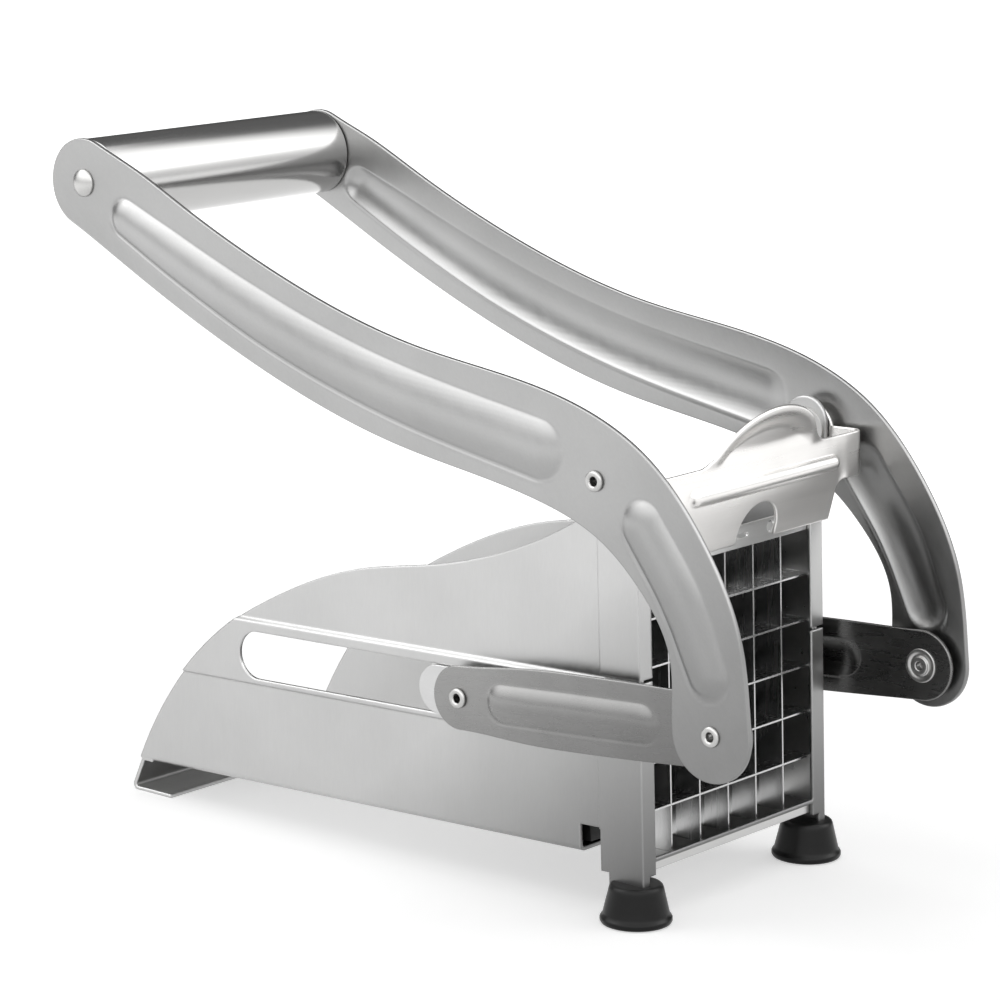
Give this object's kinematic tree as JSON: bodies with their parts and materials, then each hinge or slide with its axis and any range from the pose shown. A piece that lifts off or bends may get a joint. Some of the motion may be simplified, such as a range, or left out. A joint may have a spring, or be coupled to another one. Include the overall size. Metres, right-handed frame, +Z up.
{
  "type": "french fry cutter",
  "caption": "Hand lever french fry cutter in brushed steel with a square blade grid, a linked pusher, a tube handle, a flip-up cap and rubber feet.",
  "frame": {"origin": "middle of the bounding box at table level", "axes": "+X forward, where the strips come out; +Y to the left; +Z up"},
  "size_m": [0.2432, 0.1, 0.1872],
  "materials": {
    "brushed_shell": "brushed",
    "brushed_lever": "brushed",
    "polished_tube": "turned and polished",
    "black_plastic": "matte",
    "shoe_steel": "satin",
    "rivet_steel": "bright",
    "cartridge_steel": "satin",
    "blade_steel": "ground",
    "brushed_cap": "brushed",
    "black_rubber": "matte"
  },
  "bodies": {
    "body": {"blade_frame": "cartridge_steel", "body_shell": "brushed_shell", "ear_bracket_left": "brushed_shell", "ear_bracket_right": "brushed_shell", "level_blades": "blade_steel", "pivot_rivet_left": "rivet_steel", "pivot_rivet_right": "rivet_steel", "pivot_spacer_left": "rivet_steel", "pivot_spacer_right": "rivet_steel", "pivot_washer_left": "rivet_steel", "pivot_washer_right": "rivet_steel", "rubber_foot_left": "black_rubber", "rubber_foot_right": "black_rubber", "upright_blades": "blade_steel"},
    "lever": {"arm_left": "brushed_lever", "arm_right": "brushed_lever", "crank_rivet_left": "rivet_steel", "crank_rivet_right": "rivet_steel", "handle_plug_left": "black_plastic", "handle_plug_right": "black_plastic", "handle_rivet_left": "rivet_steel", "handle_rivet_right": "rivet_steel", "handle_tube": "polished_tube"},
    "pusher": {"pusher_block": "black_plastic", "pusher_carrier": "cartridge_steel", "pusher_screws": "rivet_steel", "slide_shoe_left": "shoe_steel", "slide_shoe_right": "shoe_steel", "slider_rivet_left": "rivet_steel", "slider_rivet_right": "rivet_steel"},
    "cap": {"blade_cap": "brushed_cap"},
    "link_left": {"link_left": "brushed_lever", "link_pin_left": "rivet_steel"},
    "link_right": {"link_right": "brushed_lever", "link_pin_right": "rivet_steel"}
  },
  "joints": [
    {"name": "lever_hinge", "type": "hinge", "parent": "body", "child": "lever", "pos_m": [0.07249, 0, 0.11625], "axis": [0, -1, 0], "range_deg": [-57, 17]},
    {"name": "pusher_slide", "type": "slide", "parent": "body", "child": "pusher", "axis": [0.9993, 0, 0.0366], "range_m": [-0.0647, 0.0193]},
    {"name": "cap_hinge", "type": "hinge", "parent": "body", "child": "cap", "pos_m": [0.07249, 0, 0.11625], "axis": [0, -1, 0], "range_deg": [0, 95]},
    {"name": "link_left_hinge", "type": "hinge", "parent": "pusher", "child": "link_left", "pos_m": [0.02434, 0.0438, 0.05114], "axis": [0, -1, 0], "range_deg": [-7.3, 2.2]},
    {"name": "link_right_hinge", "type": "hinge", "parent": "pusher", "child": "link_right", "pos_m": [0.02434, -0.0438, 0.05114], "axis": [0, -1, 0], "range_deg": [-7.3, 2.2]}
  ],
  "couplings": [
    {"joint": "pusher_slide", "follows": "lever_hinge", "m_per_rad": 0.065},
    {"joint": "link_left_hinge", "follows": "lever_hinge", "ratio": 0.128},
    {"joint": "link_right_hinge", "follows": "lever_hinge", "ratio": 0.128}
  ]
}
